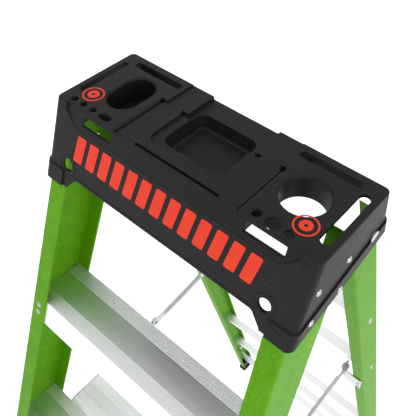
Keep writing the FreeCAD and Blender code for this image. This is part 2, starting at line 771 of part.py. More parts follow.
def soft_pocket(x0, x1, y0, y1, top, bottom, corner, draft, floor_round):
    """A tray-shaped cutter with drafted sides and a rounded floor."""
    upper = [at(x0, y0, top), at(x1, y0, top), at(x1, y1, top), at(x0, y1, top)]
    lower = [at(x0 + draft, y0 + draft, bottom), at(x1 - draft, y0 + draft, bottom),
             at(x1 - draft, y1 - draft, bottom), at(x0 + draft, y1 - draft, bottom)]
    body = Part.makeLoft([rounded(upper, corner), rounded(lower, corner - draft / 2)], True)
    floor_edges = [edge for edge in body.Edges
                   if abs(edge.BoundBox.ZMax - (CAP_TOP - bottom)) < 0.01]
    return body.makeFillet(floor_round, floor_edges)


def obround(x, y, radius, reach, top, bottom, axis="y"):
    """A cutter with round ends: reach is how far each end's centre is from the middle."""
    dx, dy = (reach, 0) if axis == "x" else (0, reach)
    shapes = [rod(at(x - dx, y - dy, bottom), at(x - dx, y - dy, top), radius),
              rod(at(x + dx, y + dy, bottom), at(x + dx, y + dy, top), radius)]
    if axis == "x":
        shapes.append(box(x - reach, x + reach, y - radius, y + radius, top, bottom))
    else:
        shapes.append(box(x - radius, x + radius, y - reach, y + reach, top, bottom))
    return fuse(shapes)


def chamfer_ring(x, y, radius, reach, size):
    """A cutter that breaks the top edge of a round or obround hole."""
    steps = []
    dy = reach
    for side in (-1, 1):
        steps.append(Part.makeCone(radius, radius + size, size, at(x, y + side * dy, size),
                                   V(0, 0, 1)))
    if reach > 0:
        profile = [at(x - radius, y - dy, size), at(x + radius, y - dy, size),
                   at(x + radius + size, y - dy, 0), at(x - radius - size, y - dy, 0)]
        steps.append(slab(profile, 0, V(0, 2 * dy, 0)))
    return fuse(steps) if reach > 0 else steps[0]


CENTRE_DROP = 5.5           # the middle of the cap lies this far below its ends
STRIP_DROP = 2.5            # and the strips beside it this far
MODULE_EDGE = 86.0          # half width between the end modules
TRAY_ZONE = 54.0            # half width of the middle
BACK_MODULE_EDGE = 80.0     # the same two edges behind the notches
BACK_TRAY_ZONE = 48.0
NOTCH_Y = 78.0
SOFT_EDGE = 3.6             # width of the slopes between the levels

TRAY = (-43.0, 43.0, 26.0, 98.0)
TRAY_FLOOR = 25.0
LEFT_CUP = (-122.0, 61.0, 20.0, 12.0)       # x, y, radius, reach
RIGHT_HOLE = (124.4, 59.6, 26.5)
CUP_TUBE = 30.0             # depth of the walls under the cup and the round hole
CAVITY_TOP = 19.0           # depth at which the hollow's sloping front begins
SMALL_HOLES = ((-163.5, 4.2), (-148.0, 4.2), (-131.5, 4.2), (103.1, 5.2), (141.3, 5.2))
BIG_HOLE = (122.2, 8.0)
LONG_HOLE = (-111.0, 5.0, 4.0)
HOLE_Y = 10.5
END_HOLES = (-151.5, 146.5)         # the round holes low in the front
BACK_SLOT = (86.0, 161.0, 102.0, 112.0)     # |x| and y of the slots along the back
BACK_SLOT_DEPTH = 10.0


def cap_steps():
    """The shallow level changes of the top, as cutters."""
    far = CAP_DEPTH + 40
    strip = fuse([box(-MODULE_EDGE, MODULE_EDGE, -60, NOTCH_Y, -1, STRIP_DROP),
                  box(-BACK_MODULE_EDGE, BACK_MODULE_EDGE, NOTCH_Y - 3, far, -1, STRIP_DROP)])
    zone_points = [at(-TRAY_ZONE, 17, -1), at(TRAY_ZONE, 17, -1), at(TRAY_ZONE, NOTCH_Y, -1),
                   at(-TRAY_ZONE, NOTCH_Y, -1)]
    zone = slab(zone_points, [14, 14, 0, 0], V(0, 0, -1 - CENTRE_DROP))
    back_zone = box(-BACK_TRAY_ZONE, BACK_TRAY_ZONE, NOTCH_Y - 3, far, -1, CENTRE_DROP + 2.0)
    grooves = []
    for side in (-1, 1):
        grooves.append(box(side * MODULE_EDGE - 1.0, side * MODULE_EDGE + 1.0, -60, NOTCH_Y,
                           -1, STRIP_DROP + 1.2))
        slope = [at(side * (MODULE_EDGE - 1), -60, -1), at(side * (MODULE_EDGE + SOFT_EDGE), -60, -1),
                 at(side * (MODULE_EDGE + SOFT_EDGE), -60, 0), at(side * (MODULE_EDGE - 1), -60, 3)]
        grooves.append(slab(slope, 0, V(0, NOTCH_Y + 59, 0)))
    notches = []
    for edge in (MODULE_EDGE, TRAY_ZONE):
        for side in (-1, 1):
            notches.append(box(side * edge - 2.5, side * edge + 2.5, NOTCH_Y - 4, NOTCH_Y + 1,
                               -1, CENTRE_DROP + 1.5))
    return [strip, zone, back_zone] + grooves + notches


def cap_trim():
    """Cutters that shape the cap's lower edge."""
    low = CAP_SKIRT + 30
    side = slab([at(-400, -60, 107.5), at(-400, 160, 60.5), at(-400, 160, low), at(-400, -60, low)],
                0, V(800, 0, 0))
    middle = slab([at(-135, -80, 86), at(135, -80, 86), at(150, -80, 101), at(150, -80, low),
                   at(-150, -80, low), at(-150, -80, 101)], [8, 8, 6, 0, 0, 6], V(0, 300, 0))
    return [side, middle]


def cap_shoulder():
    """The flat that leans back above the crease of the front face."""
    wedge = slab([at(-170, 4.2, -2), at(-170, 3.2, 0), at(-170, -9.0, 24.5), at(-170, -40, 24.5),
                  at(-170, -40, -2)], 0, V(340, 0, 0))
    face = slab([at(-166, -60, -3), at(166, -60, -3), at(164, -60, 7), at(146, -60, 24.5),
                 at(-146, -60, 24.5), at(-164, -60, 7)], 0, V(0, 100, 0))
    return wedge.common(face)


def cap_lip():
    """The band that stands proud round the lower edge of the ends."""
    proud = cap_block(40, CAP_SKIRT, -LIP_PROUD)
    upper = slab([at(-400, -60, lip_top(-60)), at(-400, 160, lip_top(160)), at(-400, 160, 0),
                  at(-400, -60, 0)], 0, V(800, 0, 0))
    inner = box(-158, 158, -200, 300, 0, CAP_SKIRT + 10)
    return proud.cut(upper).cut(inner)


def cap_windows():
    cutters = []
    for x0, x1 in ((-135, -90), (100, 147)):
        points = [at(x0, -30, 6), at(x1, -30, 6), at(x1 + 1, -30, 17), at(x0 - 1, -30, 17)]
        cutters.append(slab(points, 1.5, V(0, 40, 0)))
        pocket = [at(x0 - 6, 3.9, CAP_WALL), at(x0 - 6, 9, CAP_WALL), at(x0 - 6, 9, 24),
                  at(x0 - 6, -5.4, 24)]
        cutters.append(slab(pocket, 0, V(x1 - x0 + 12, 0, 0)))
    return cutters


def cap_slots():
    cutters = []
    for side in (-1, 1):
        x0, x1, y0, y1 = BACK_SLOT
        points = [at(side * x0, y0, -2), at(side * x1, y0, -2), at(side * x1, y1, -2),
                  at(side * x0, y1, -2)]
        if side < 0:
            points.reverse()
        cutters.append(slab(points, 4, V(0, 0, -20)))
    cutters.append(obround(-171.5, 63, 4.2, 34, -2, 18))
    cutters.append(obround(170.5, 60, 6.0, 34, -2, 18))
    cutters.append(obround(2.0, 4.5, 1.9, 57, -2, 6.5, "x"))
    return cutters


def cap_holes():
    cutters = []
    for x, radius in SMALL_HOLES + (BIG_HOLE,):
        cutters.append(rod(at(x, HOLE_Y, 30), at(x, HOLE_Y, -2), radius))
        cutters.append(chamfer_ring(x, HOLE_Y, radius, 0, 0.8))
    x, radius, reach = LONG_HOLE
    cutters.append(obround(x, HOLE_Y, radius, reach, -2, 30, "x"))
    for x in END_HOLES:
        cutters.append(rod(at(x, -60, 73), at(x, 0, 73), 8.0))
    return cutters


def cap_ribs():
    """Stiffening ribs under the top, and the collars round the slots along the back."""
    ribs = []
    for x in (-88, -58, 58, 88):
        ribs.append(box(x - 1.3, x + 1.3, -12, CAP_DEPTH + 4, CAP_WALL, 40))
    for x0, x1 in ((-178, -88), (88, 166)):
        ribs.append(box(x0, x1, 19.5, 22, 3, 24))
    x0, x1, y0, y1 = BACK_SLOT
    collar = box(x0 - 2, x1 + 2, y0 - 2, y1 + 2, 3, BACK_SLOT_DEPTH)
    return ribs + [collar, mirrored(collar)]


def top_cap():
    block = cap_block(0, CAP_SKIRT, 0)
    rim = [edge for edge in block.Edges if edge.BoundBox.ZMin > CAP_TOP - 0.01]
    block = block.makeFillet(CAP_EDGE, rim)
    block = fuse([block, cap_lip()])
    cavity = cap_block(CAVITY_TOP, CAP_SKIRT + 1, CAP_WALL)
    front = CAP_WALL + 4
    rear = CAP_DEPTH - CAP_WALL
    low = CAVITY_TOP + 2
    middle = box(-91, 91, front, rear, CAP_WALL + CENTRE_DROP + 2, low)
    end = box(91, CAP_HALF - CAP_WALL, front, rear, CAP_WALL, low)
    inside = fuse([cavity, middle, end, mirrored(end)])
    tray_shell = box(TRAY[0] - 3, TRAY[1] + 3, TRAY[2] - 3, TRAY[3] + 3, 3, TRAY_FLOOR + 3)
    x, y, radius, reach = LEFT_CUP
    cup_shell = obround(x, y, radius + 3, reach, 3, CUP_TUBE + 3)
    hole_shell = rod(at(RIGHT_HOLE[0], RIGHT_HOLE[1], CUP_TUBE),
                     at(RIGHT_HOLE[0], RIGHT_HOLE[1], 3), RIGHT_HOLE[2] + 3)
    pads = cap_pads()
    keep = fuse([tray_shell, cup_shell, hole_shell] + cap_ribs() + pads)
    keep = keep.common(cap_block(0.5, CAP_SKIRT, 1.0))
    body = fuse([block.cut(inside), keep])
    cutters = cap_steps() + cap_trim() + [cap_shoulder()] + cap_windows() + cap_slots()
    cutters += cap_holes() + cap_notches()
    cutters.append(soft_pocket(*TRAY, -2, TRAY_FLOOR, 13.0, 4.0, 4.0))
    cutters.append(obround(x, y, radius, reach, -2, CUP_TUBE))
    cutters.append(chamfer_ring(x, y, radius, reach, 2.0))
    cutters.append(rod(at(RIGHT_HOLE[0], RIGHT_HOLE[1], CUP_TUBE + 5),
                       at(RIGHT_HOLE[0], RIGHT_HOLE[1], -2), RIGHT_HOLE[2]))
    cutters.append(chamfer_ring(*RIGHT_HOLE, 0, 2.0))
    for cutter in cutters + rail_recesses():
        body = body.cut(cutter)
    pivot = cap_pivot_seat()
    for point, axis in cap_rivet_seats() + [pivot]:
        head = PIVOT_HEAD if point == pivot[0] else CAP_RIVET_HEAD
        flat = rod(point, point - axis * 6, head + 0.5)
        body = body.cut(flat).cut(mirrored(flat))
    body = drill_pair(body, cap_rivet_seats(), CAP_RIVET_RADIUS, 16.0)
    return drill_pair(body, [pivot], PIN_RADIUS, 16.0)


def rail_recesses():
    """The front rails' upper ends are let into the cap's front wall."""
    top = FRONT_RAIL_TOP
    x = front_outer_x(top)
    y = front_face_y(top)
    run = CAP_SKIRT - top
    section = [at(x, y, top), at(x, y + FRONT_DEPTH, top), at(x - FRONT_FLANGE, y + FRONT_DEPTH, top),
               at(x - FRONT_FLANGE, y, top)]
    recess = slab(section, 0, V(FRONT_SPREAD * run, FRONT_LEAN * run, -run))
    return [recess, mirrored(recess)]


def cap_pads():
    """Thick pads inside the end walls: the front rails are riveted against them."""
    pads = []
    x = front_outer_x(FRONT_RAIL_TOP)
    drop = CAP_SKIRT - FRONT_RAIL_TOP
    y = front_face_y(FRONT_RAIL_TOP)
    outer = cap_outer_x(CAP_SKIRT)
    for side in (1, -1):
        section = [at(side * x, y, FRONT_RAIL_TOP), at(side * outer, y, FRONT_RAIL_TOP),
                   at(side * outer, y + FRONT_DEPTH, FRONT_RAIL_TOP),
                   at(side * x, y + FRONT_DEPTH, FRONT_RAIL_TOP)]
        pads.append(slab(section, 0,
                         V(side * FRONT_SPREAD * drop, FRONT_LEAN * drop, -drop)))
    return pads


def cap_notches():
    """Openings in the rear wall through which the rear rails swing."""
    notches = []
    for side in (1, -1):
        x0, x1 = sorted((side * BACK_MODULE_EDGE, side * 180.2))
        notches.append(box(x0, x1, 108, 200, 22, CAP_SKIRT + 20))
    return notches


def cap_rivets():
    pieces = []
    for point, axis in cap_rivet_seats():
        grip = point.x - front_outer_x(CAP_TOP - point.z) + RAIL_WALL + 0.1
        pieces += riveted(rivet(CAP_RIVET_RADIUS, grip, CAP_RIVET_HEAD, 2.2), [(point, axis)])
    return pieces


def cap_pivot():
    """The pin on which the rear rail turns, with its outer head and inner nut."""
    wall_x = cap_pivot_seat()[0].x
    web_x = rear_outer_x(PIVOT_D)
    shank = rod(at(web_x - RAIL_WALL - 3, PIVOT_Y, PIVOT_D), at(wall_x + 1, PIVOT_Y, PIVOT_D),
                PIN_RADIUS)
    head = rod(at(wall_x, PIVOT_Y, PIVOT_D), at(wall_x + 2.6, PIVOT_Y, PIVOT_D), PIVOT_HEAD)
    nut = rod(at(web_x - RAIL_WALL - 6, PIVOT_Y, PIVOT_D),
              at(web_x - RAIL_WALL - 1.2, PIVOT_Y, PIVOT_D), PIVOT_HEAD)
    return fuse([shank, head, nut])


def pivot_washers():
    """Spacers between the cap's end walls and the rear rails."""
    inner = rear_outer_x(PIVOT_D) + 1.2
    outer = cap_outer_x(PIVOT_D - 11) - CAP_WALL
    ring = rod(at(inner, PIVOT_Y, PIVOT_D), at(outer, PIVOT_Y, PIVOT_D), 11.0)
    ring = ring.cut(rod(at(inner - 1, PIVOT_Y, PIVOT_D), at(outer + 1, PIVOT_Y, PIVOT_D),
                        PIN_RADIUS))
    return [ring, mirrored(ring)]


# ---------------------------------------------------------------- all pieces
def build():
    os.makedirs("parts", exist_ok=True)
    save("top_cap", top_cap())
    save("cap_rivets", cap_rivets())
    save_pair("cap_pivot", cap_pivot())
    save("pivot_washers", pivot_washers())
    save_pair("front_rail", front_rail())
    save_pair("rear_rail", rear_rail())
    for number in range(1, STEP_COUNT + 1):
        save("step_%d" % number, step(number))
        save("step_rivets_%d" % number, step_rivets(number))
    save("step_extension", step_extension())
    save("extension_rivets", extension_rivets())
    save_pair("extension_bracket", extension_bracket())
    save_pair("front_spreader_pin", front_spreader_pin())
    save_pair("step_brace", step_brace())
    save("brace_rivets", brace_rivets())
    front_sizes = (front_outer_x, front_face_y, FRONT_DEPTH, FRONT_FLANGE)
    rear_sizes = (rear_outer_x, rear_face_y, REAR_DEPTH, REAR_FLANGE)
    save_pair("front_foot", foot(*front_sizes, FRONT_SPREAD, FRONT_LEAN, FRONT_INWARD))
    save_pair("rear_foot", foot(*rear_sizes, REAR_SPREAD, REAR_LEAN, REAR_INWARD))
    save_pair("front_pad", foot_pad(*front_sizes))
    save_pair("rear_pad", foot_pad(*rear_sizes))
    save("front_foot_rivets", foot_rivets(front_outer_x, front_middle_y, FRONT_INWARD))
    save("rear_foot_rivets", foot_rivets(rear_outer_x, rear_middle_y, REAR_INWARD))
    for number, depth in enumerate(REAR_BAR_DEPTHS, 1):
        save("rear_bar_%d" % number, cross_bar(depth))
    save("rear_bar_rivets", cross_bar_rivets())
    save_pair("rear_brace", rear_brace())
    save_pair("spreader_bracket", spreader_bracket())
    save("bracket_rivets", bracket_rivets())
    save_pair("rear_spreader_pin", rear_spreader_pin())
    save_pair("spreader_front", spreader_bar(FRONT_BAR_X, SPREADER_FRONT, 1))
    save_pair("spreader_rear", spreader_bar(REAR_BAR_X, SPREADER_REAR, -1))
    save_pair("knuckle_pin", knuckle_pin())


build()
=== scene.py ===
# %% [markdown]
# # A step ladder
# The ladder stands open on a pale floor: two green fibreglass channels in front, two narrower
# ones behind, ribbed aluminium steps, folding steel spreaders, and a moulded black cap that
# doubles as a tool tray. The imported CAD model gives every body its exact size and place, so
# this script spends its effort on finishes and on the small things that are printed or
# moulded on the cap.

# %% Load the frame
import math
import bpy
from mathutils import Matrix, Vector
from mathutils.bvhtree import BVHTree


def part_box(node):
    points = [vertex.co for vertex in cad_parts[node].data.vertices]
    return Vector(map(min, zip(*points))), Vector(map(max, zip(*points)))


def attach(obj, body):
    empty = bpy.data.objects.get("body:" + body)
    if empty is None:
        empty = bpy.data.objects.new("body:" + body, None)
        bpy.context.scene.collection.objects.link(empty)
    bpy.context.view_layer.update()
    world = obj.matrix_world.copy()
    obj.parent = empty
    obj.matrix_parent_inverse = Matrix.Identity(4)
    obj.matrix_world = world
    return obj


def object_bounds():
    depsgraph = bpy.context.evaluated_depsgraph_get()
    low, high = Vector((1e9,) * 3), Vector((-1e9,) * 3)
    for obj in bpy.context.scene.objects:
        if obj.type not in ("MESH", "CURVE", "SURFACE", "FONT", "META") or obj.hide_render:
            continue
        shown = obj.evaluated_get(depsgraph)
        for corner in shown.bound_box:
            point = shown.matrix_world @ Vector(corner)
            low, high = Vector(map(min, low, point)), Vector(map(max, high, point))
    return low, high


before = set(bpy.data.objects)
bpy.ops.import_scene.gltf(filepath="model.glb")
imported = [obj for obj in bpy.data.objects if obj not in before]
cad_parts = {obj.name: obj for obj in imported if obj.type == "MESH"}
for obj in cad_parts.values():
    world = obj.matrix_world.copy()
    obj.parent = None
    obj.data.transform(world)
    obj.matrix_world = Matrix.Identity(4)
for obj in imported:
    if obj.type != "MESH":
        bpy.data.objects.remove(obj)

cad_low, cad_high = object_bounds()
print("CAD box", [round(v, 4) for v in cad_high - cad_low], "nodes", len(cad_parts))

# %% [markdown]
# ## Places on the cap
# Most details sit on the cap, so places are given as they are on the cap's own drawing: x
# along it, y back from its front top edge and d down from its top face, all in millimetres.
# One function turns that into a point of the scene. The top is level, so a place on it needs
# no more than that. The front panel slopes, so a ray finds its real surface, which is safer
# than repeating the cap's slopes here.

# %% Cap places
MM = 0.001
CAP_FRONT = -0.02535
CAP_TOP = cad_high.z
SIDESTEP = 0.013            # mm, keeps a ray off the edges between faces
RAY_START = -150            # mm, well in front of the cap
UP = Vector((0.0, 0.0, 1.0))


def place(x, y, d):
    return Vector((x * MM, CAP_FRONT + y * MM, CAP_TOP - d * MM))


cap_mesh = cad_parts["top_cap"].data
cap_surface = BVHTree.FromPolygons([v.co for v in cap_mesh.vertices],
                                   [tuple(p.vertices) for p in cap_mesh.polygons])


def on_top(x, y):
    """A place on the cap's level top, and the way it faces."""
    return place(x, y, 0.0), UP


def on_front(x, d):
    """The cap's front surface at a height, and the way it faces."""
    hit, facing, _, _ = cap_surface.ray_cast(place(x + SIDESTEP, RAY_START, d + SIDESTEP),
                                             Vector((0, 1, 0)))
    return hit, facing


print("front of the cap at d 45:", [round(v, 4) for v in on_front(0, 45)[0]])

# %% [markdown]
# ## Shader maths
# A material is a recipe of nodes. Writing `1 - mask * 0.3` is easier to read than four nodes
# and six links, so one small class wraps a socket and turns each operator into a Math node.
# A second class adds every other node from its type, its settings and its sockets.

# %% Wires and recipes
class Wire:
    """A socket that can be used in sums."""

    def __init__(self, recipe, socket):
        self.recipe = recipe
        self.socket = socket

    def sum(self, operation, left, right):
        return self.recipe.add("ShaderNodeMath", {"operation": operation}, {0: left, 1: right})

    def __add__(self, other):
        return self.sum("ADD", self, other)

    __radd__ = __add__

    def __mul__(self, other):
        return self.sum("MULTIPLY", self, other)

    __rmul__ = __mul__

    def __sub__(self, other):
        return self.sum("SUBTRACT", self, other)

    def __rsub__(self, other):
        return self.sum("SUBTRACT", other, self)


class Recipe:
    """A node tree that grows by one call per node."""

    def __init__(self, tree):
        self.tree = tree

    def node(self, kind, settings=None, sockets=None):
        made = self.tree.nodes.new(kind)
        for name, value in (settings or {}).items():
            setattr(made, name, value)
        for name, value in (sockets or {}).items():
            if isinstance(value, Wire):
                self.tree.links.new(value.socket, made.inputs[name])
            else:
                made.inputs[name].default_value = value
        return made

    def add(self, kind, settings=None, sockets=None, out=0):
        return Wire(self, self.node(kind, settings, sockets).outputs[out])

    def blend(self, factor, first, second):
        """A colour between two colours."""
        return self.add("ShaderNodeMix", {"data_type": "RGBA"}, {0: factor, 6: first, 7: second},
                        out=2)

    def grain(self, where, scale, detail=3.0, roughness=0.5, stretch=(1, 1, 1)):
        """Noise, stretched along the axes whose factor is small."""
        spread = self.add("ShaderNodeVectorMath", {"operation": "MULTIPLY"},
                          {0: where, 1: stretch})
        return self.add("ShaderNodeTexNoise", {}, {"Vector": spread, "Scale": scale,
                                                   "Detail": detail, "Roughness": roughness})

    def ramp(self, value, low, high):
        """0 below low, 1 above high, smooth between."""
        return self.add("ShaderNodeMapRange", {"interpolation_type": "SMOOTHSTEP"},
                        {0: value, 1: low, 2: high, 3: 0.0, 4: 1.0})


def colour(red, green, blue):
    """A finish's colour as it is read off a paint card (0 to 255), made linear."""
    linear = []
    for value in (red, green, blue):
        share = value / 255
        linear.append(share / 12.92 if share <= 0.04045 else ((share + 0.055) / 1.055) ** 2.4)
    return (*linear, 1.0)


def new_finish(name, **constants):
    """A material with a Principled shader whose fixed sockets are set here."""
    material = bpy.data.materials.new(name)
    material.use_nodes = True
    recipe = Recipe(material.node_tree)
    shader = material.node_tree.nodes["Principled BSDF"]
    for socket, value in constants.items():
        shader.inputs[socket.replace("_", " ")].default_value = value
    where = recipe.add("ShaderNodeTexCoord", out=3)
    return material, recipe, shader, where


def feed(recipe, shader, **wires):
    for socket, wire in wires.items():
        recipe.tree.links.new(wire.socket, shader.inputs[socket.replace("_", " ")])


print("helpers ready")

# %% [markdown]
# ## Moulded black plastic
# The cap is one big injection moulding with a fine spark-eroded grain. Under soft light its
# colour is a dark warm grey, and where tools slide it is polished or scuffed a little paler.
# Fine noise drives the bump, broad noise drives the roughness, and stretched noise gives the
# scuffs. A Bevel node rounds every edge in the shading only, as a mould always does.

# %% Cap plastic
def moulded(name, dark, pale, grain_scale, scuffs):
    material, recipe, shader, where = new_finish(name, Specular_IOR_Level=0.16)
    broad = recipe.grain(where, 9.0, 2.0)
    grain = recipe.grain(where, grain_scale, 2.0, 0.6)
    scratches = recipe.ramp(recipe.grain(where, 60.0, 4.0, 0.7, (1.0, 7.0, 7.0)), 0.62, 0.72)
    tone = recipe.blend(broad, dark, pale)
    tone = recipe.blend(scratches * scuffs, tone, colour(120, 120, 122))
    edge = recipe.add("ShaderNodeBevel", {"samples": 4}, {"Radius": 0.0008})
    bump = recipe.add("ShaderNodeBump", {}, {"Height": grain, "Strength": 0.25,
                                             "Distance": 0.00025, "Normal": edge})
    feed(recipe, shader, Base_Color=tone, Roughness=0.42 + broad * 0.16 - scratches * 0.08,
         Normal=bump)
    return material


cap_plastic = moulded("cap_plastic", colour(19, 19, 19), colour(29, 29, 29), 1400.0, 0.10)
foot_plastic = moulded("foot_plastic", colour(24, 24, 24), colour(34, 34, 34), 900.0, 0.06)
print("moulded plastics:", cap_plastic.name, foot_plastic.name)

# %% [markdown]
# ## Pultruded fibreglass
# The rails are glass fibres pulled through a die with bright green resin. Up close the long
# fibres show as faint streaks along the rail, and the veil cloth on the surface as a fine
# mottle. The pattern therefore has to follow each rail's lean: a Mapping node turns it.

# %% Green rails
def fibreglass(name, lean):
    material, recipe, shader, where = new_finish(name, Specular_IOR_Level=0.08)
    along = recipe.add("ShaderNodeMapping", {}, {"Vector": where,
                                                 "Rotation": (math.atan(lean), 0.0, 0.0)})
    streaks = recipe.grain(along, 420.0, 3.0, 0.6, (1.0, 1.0, 0.05))
    veil = recipe.grain(along, 260.0, 4.0, 0.65, (1.0, 1.0, 0.6))
    cloudy = recipe.grain(along, 38.0, 3.0, 0.6, (1.0, 1.0, 0.45))
    mix = streaks * 0.35 + veil * 0.35 + cloudy * 0.3
    tone = recipe.blend(recipe.ramp(mix, 0.36, 0.64), colour(76, 136, 5), colour(92, 154, 10))
    fibres = recipe.ramp(recipe.grain(along, 900.0, 2.0, 0.5, (1.0, 1.0, 0.03)), 0.66, 0.74)
    tone = recipe.blend(fibres * 0.25, tone, colour(112, 166, 34))
    edge = recipe.add("ShaderNodeBevel", {"samples": 4}, {"Radius": 0.0007})
    bump = recipe.add("ShaderNodeBump", {}, {"Height": mix, "Strength": 0.22, "Distance": 0.0004,
                                             "Normal": edge})
    feed(recipe, shader, Base_Color=tone, Roughness=0.38 + mix * 0.2, Normal=bump)
    return material


front_green = fibreglass("front_rail_green", -0.354)
rear_green = fibreglass("rear_rail_green", 0.316)
print("fibreglass:", front_green.name, rear_green.name)

# %% [markdown]
# ## Extruded aluminium
# A step is a mill-finished extrusion. The ribs along both edges are blasted by use, so they are
# pale and rough.
# The plain band between them lies a little lower and is smoother. Its colour is also painted
# darker, as painted shade in that low band between the ribs. The finish reads its height below
# the tread, which tells the two apart, and die
# lines run along the step: noise stretched along X.

# %% Step aluminium
def extruded(name, top, mirror_roughness):
    material, recipe, shader, where = new_finish(name, Metallic=1.0, Specular_IOR_Level=0.5)
    height = recipe.add("ShaderNodeSeparateXYZ", {}, {0: where}, out=2)
    low_band = recipe.ramp(height, top - 0.0006, top - 0.0003)
    tread = recipe.ramp(height, top - 0.0016, top - 0.0013)
    # the low plain band between the ribs: a real smoother finish, plus painted shade in its
    # colour
    smooth_and_shaded_band = tread * (1 - low_band)
    lines = recipe.grain(where, 700.0, 3.0, 0.6, (0.012, 1.0, 1.0))
    smears = recipe.grain(where, 16.0, 3.0, 0.6, (0.5, 1.0, 1.0))
    tone = recipe.blend(smears, colour(236, 237, 238), colour(248, 249, 250))
    # painted shade: the low band's colour is darkened to grey 222; the lower roughness on the
    # next line is its real smoother finish
    tone = recipe.blend(smooth_and_shaded_band * 0.85, tone, colour(222, 223, 224))
    rough = 0.46 + lines * 0.12 - smooth_and_shaded_band * (0.46 - mirror_roughness) + smears * 0.05
    edge = recipe.add("ShaderNodeBevel", {"samples": 4}, {"Radius": 0.0004})
    bump = recipe.add("ShaderNodeBump", {}, {"Height": lines, "Strength": 0.12,
                                             "Distance": 0.0002, "Normal": edge})
    feed(recipe, shader, Base_Color=tone, Roughness=rough, Normal=bump)
    return material


step_finishes = {}
for number in range(1, 6):
    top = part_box(f"step_{number}")[1].z
    step_finishes[f"step_{number}"] = extruded(f"step_aluminium_{number}", top, 0.26)
step_finishes["step_extension"] = extruded("extension_aluminium",
                                           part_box("step_extension")[1].z, 0.3)
bar_aluminium = extruded("bar_aluminium", 5.0, 0.4)
print("aluminium finishes:", len(step_finishes) + 1)

# %% [markdown]
# ## Zinc-plated steel and bright rivets
# Spreaders, brackets, braces and pins are pressed steel with a thin zinc coat, pale and a
# little cloudy. Rivet heads are burnished by the tool that set them, so they catch small,
# sharp highlights. Both are metals with the same recipe and different numbers.

# %% Steel
def plated(name, dark, pale, rough, cloud_scale):
    material, recipe, shader, where = new_finish(name, Metallic=1.0)
    clouds = recipe.grain(where, cloud_scale, 4.0, 0.65)
    marks = recipe.grain(where, 900.0, 2.0, 0.6, (1.0, 0.08, 1.0))
    tone = recipe.blend(clouds, dark, pale)
    edge = recipe.add("ShaderNodeBevel", {"samples": 4}, {"Radius": 0.0005})
    bump = recipe.add("ShaderNodeBump", {}, {"Height": marks, "Strength": 0.08,
                                             "Distance": 0.0002, "Normal": edge})
    feed(recipe, shader, Base_Color=tone, Roughness=rough + clouds * 0.14 + marks * 0.05,
         Normal=bump)
    return material


zinc = plated("zinc_steel", colour(176, 178, 180), colour(212, 213, 214), 0.24, 45.0)
bright = plated("rivet_bright", colour(150, 151, 152), colour(190, 190, 191), 0.16, 300.0)
print("metals:", zinc.name, bright.name)

# %% [markdown]
# ## Rubber and print
# The soles are black rubber with a dull, slightly dusty skin. The graphics on the cap are
# thick orange pad print: flat colour with a faint grain from the plastic below it.

# %% Rubber and orange
def dull(name, dark, pale, rough, scale, strength):
    material, recipe, shader, where = new_finish(name, Specular_IOR_Level=0.2)
    dust = recipe.grain(where, 30.0, 4.0, 0.7)
    fine = recipe.grain(where, scale, 3.0, 0.6)
    tone = recipe.blend(dust * 0.7 + fine * 0.3, dark, pale)
    bump = recipe.add("ShaderNodeBump", {}, {"Height": fine, "Strength": strength,
                                             "Distance": 0.0002})
    feed(recipe, shader, Base_Color=tone, Roughness=rough + dust * 0.12, Normal=bump)
    return material


rubber = dull("sole_rubber", colour(26, 26, 26), colour(44, 43, 42), 0.72, 700.0, 0.4)
orange = dull("orange_print", colour(208, 48, 24), colour(222, 58, 32), 0.45, 1400.0, 0.12)
print("soft and printed finishes:", rubber.name, orange.name)

# %% [markdown]
# ## Finishes for the CAD pieces
# Every CAD piece keeps its shape and gets its finish through its material slots. The name of
# a piece says what it is, so a short list of name starts is enough.

# %% Assign finishes
FINISHES = [
    ("top_cap", cap_plastic), ("front_rail", front_green), ("rear_rail", rear_green),
    ("front_foot_rivets", bright), ("rear_foot_rivets", bright), ("front_foot", foot_plastic),
    ("rear_foot", foot_plastic), ("front_pad", rubber), ("rear_pad", rubber),
    ("step_rivets", bright), ("step_brace", zinc), ("rear_bar_rivets", bright),
    ("rear_bar", bar_aluminium), ("pivot_washers", foot_plastic), ("cap_rivets", bright),
    ("cap_pivot", bright), ("extension_rivets", bright), ("bracket_rivets", bright),
    ("brace_rivets", bright), ("extension_bracket", zinc), ("rear_brace", zinc),
    ("spreader", zinc), ("front_spreader_pin", bright), ("rear_spreader_pin", bright),
    ("knuckle_pin", bright),
]
for name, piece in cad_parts.items():
    finish = step_finishes.get(name)
    if finish is None:
        finish = next(material for start, material in FINISHES if name.startswith(start))
    for index in range(len(piece.data.materials)):
        piece.material_slots[index].material = finish
print("finished CAD pieces:", len(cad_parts))

# %% [markdown]
# ## Printed bars, made with Geometry Nodes
# The front of the cap carries a bold orange graphic. Here it is a plain row of slanted bars.
# Bars repeat, so one Geometry Nodes tree makes a row: a slanted four-sided curve is rounded
# at its corners, filled, given a thickness and set out along a line. The row is made flat,
# turned into a mesh, and then laid on the cap point by point with rays.

# %% Trees
KINDS = {"Bars": "NodeSocketInt", "Finish": "NodeSocketMaterial",
         "Geometry": "NodeSocketGeometry"}


def start_tree(name, *inputs):
    """A tree with named inputs (lengths, unless KINDS says otherwise) and one output."""
    tree = bpy.data.node_groups.new(name, "GeometryNodeTree")
    for label in inputs:
        tree.interface.new_socket(label, in_out="INPUT",
                                  socket_type=KINDS.get(label, "NodeSocketFloat"))
    tree.interface.new_socket("Geometry", in_out="OUTPUT", socket_type="NodeSocketGeometry")
    recipe = Recipe(tree)
    opening = recipe.node("NodeGroupInput")
    return tree, recipe, {label: Wire(recipe, opening.outputs[label]) for label in inputs}


def end_tree(recipe, shape, finish):
    plain = recipe.add("GeometryNodeRealizeInstances", {}, {"Geometry": shape})
    done = recipe.add("GeometryNodeSetMaterial", {}, {"Geometry": plain, "Material": finish})
    recipe.node("NodeGroupOutput", {}, {"Geometry": done})


